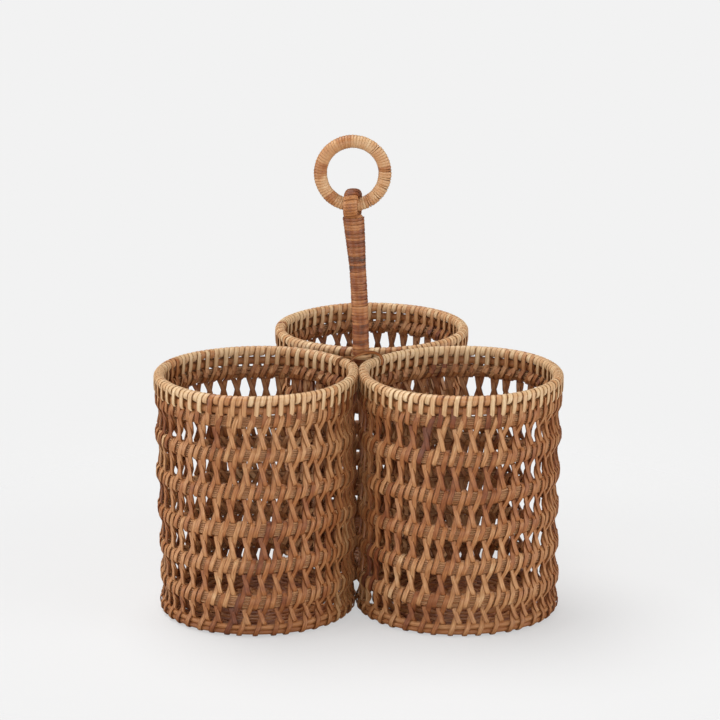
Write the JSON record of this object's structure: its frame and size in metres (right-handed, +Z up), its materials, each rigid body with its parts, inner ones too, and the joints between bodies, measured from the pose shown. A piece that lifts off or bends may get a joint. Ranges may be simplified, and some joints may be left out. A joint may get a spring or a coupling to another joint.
{
  "type": "bottle carrier",
  "caption": "Open-work rattan bottle carrier: round laced cups tied round a bound post, with a tilting carrying ring in the bent loop at its top.",
  "frame": {"origin": "on the floor, under the middle of the carrier's outline", "axes": "+Z up; -Y is the front, where the left and right cups stand; +X to the right of someone facing the front pair"},
  "size_m": [0.2402, 0.2284, 0.2771],
  "materials": {
    "rim_cane": "round rattan cane, peeled, matt",
    "rim_strip": "split rattan strip, glossy on its bark side",
    "splint": "bundled rattan splints, matt",
    "lacing_strip": "split rattan strip, satin",
    "foot_cane": "round rattan cane, matt",
    "floor_weave": "woven rattan strip, matt",
    "post_rod": "peeled rattan rod, matt",
    "post_strip": "fine rattan strip wound side by side, satin",
    "tie_strip": "split rattan strip, satin",
    "ring_rod": "peeled rattan rod bent to a ring, matt",
    "ring_strip": "fine rattan strip wound side by side, satin"
  },
  "bodies": {
    "root": {"left_rim_core": "rim_cane", "left_rim_binding": "rim_strip", "left_rim_hoop": "rim_cane", "left_splint_hoop_1": "splint", "left_splint_hoop_2": "splint", "left_splint_hoop_3": "splint", "left_splint_hoop_4": "splint", "left_splint_hoop_5": "splint", "left_splint_hoop_6": "splint", "left_lacing_row_1": "lacing_strip", "left_lacing_row_2": "lacing_strip", "left_lacing_row_3": "lacing_strip", "left_lacing_row_4": "lacing_strip", "left_lacing_row_5": "lacing_strip", "left_lacing_row_6": "lacing_strip", "left_foot_hoop": "foot_cane", "left_floor": "floor_weave", "right_rim_core": "rim_cane", "right_rim_binding": "rim_strip", "right_rim_hoop": "rim_cane", "right_splint_hoop_1": "splint", "right_splint_hoop_2": "splint", "right_splint_hoop_3": "splint", "right_splint_hoop_4": "splint", "right_splint_hoop_5": "splint", "right_splint_hoop_6": "splint", "right_lacing_row_1": "lacing_strip", "right_lacing_row_2": "lacing_strip", "right_lacing_row_3": "lacing_strip", "right_lacing_row_4": "lacing_strip", "right_lacing_row_5": "lacing_strip", "right_lacing_row_6": "lacing_strip", "right_foot_hoop": "foot_cane", "right_floor": "floor_weave", "back_rim_core": "rim_cane", "back_rim_binding": "rim_strip", "back_rim_hoop": "rim_cane", "back_splint_hoop_1": "splint", "back_splint_hoop_2": "splint", "back_splint_hoop_3": "splint", "back_splint_hoop_4": "splint", "back_splint_hoop_5": "splint", "back_splint_hoop_6": "splint", "back_lacing_row_1": "lacing_strip", "back_lacing_row_2": "lacing_strip", "back_lacing_row_3": "lacing_strip", "back_lacing_row_4": "lacing_strip", "back_lacing_row_5": "lacing_strip", "back_lacing_row_6": "lacing_strip", "back_foot_hoop": "foot_cane", "back_floor": "floor_weave", "post_core": "post_rod", "post_binding": "post_strip", "loop_binding": "post_strip", "rim_ties": "tie_strip", "foot_ties": "tie_strip"},
    "carrying_ring": {"ring_core": "ring_rod", "ring_binding": "ring_strip"}
  },
  "joints": [
    {"name": "ring_tilt", "type": "hinge", "parent": "root", "child": "carrying_ring", "pos_m": [-0.0035, -0.01521, 0.2352], "axis": [1, 0, 0], "range_deg": [-160, 160]}
  ]
}
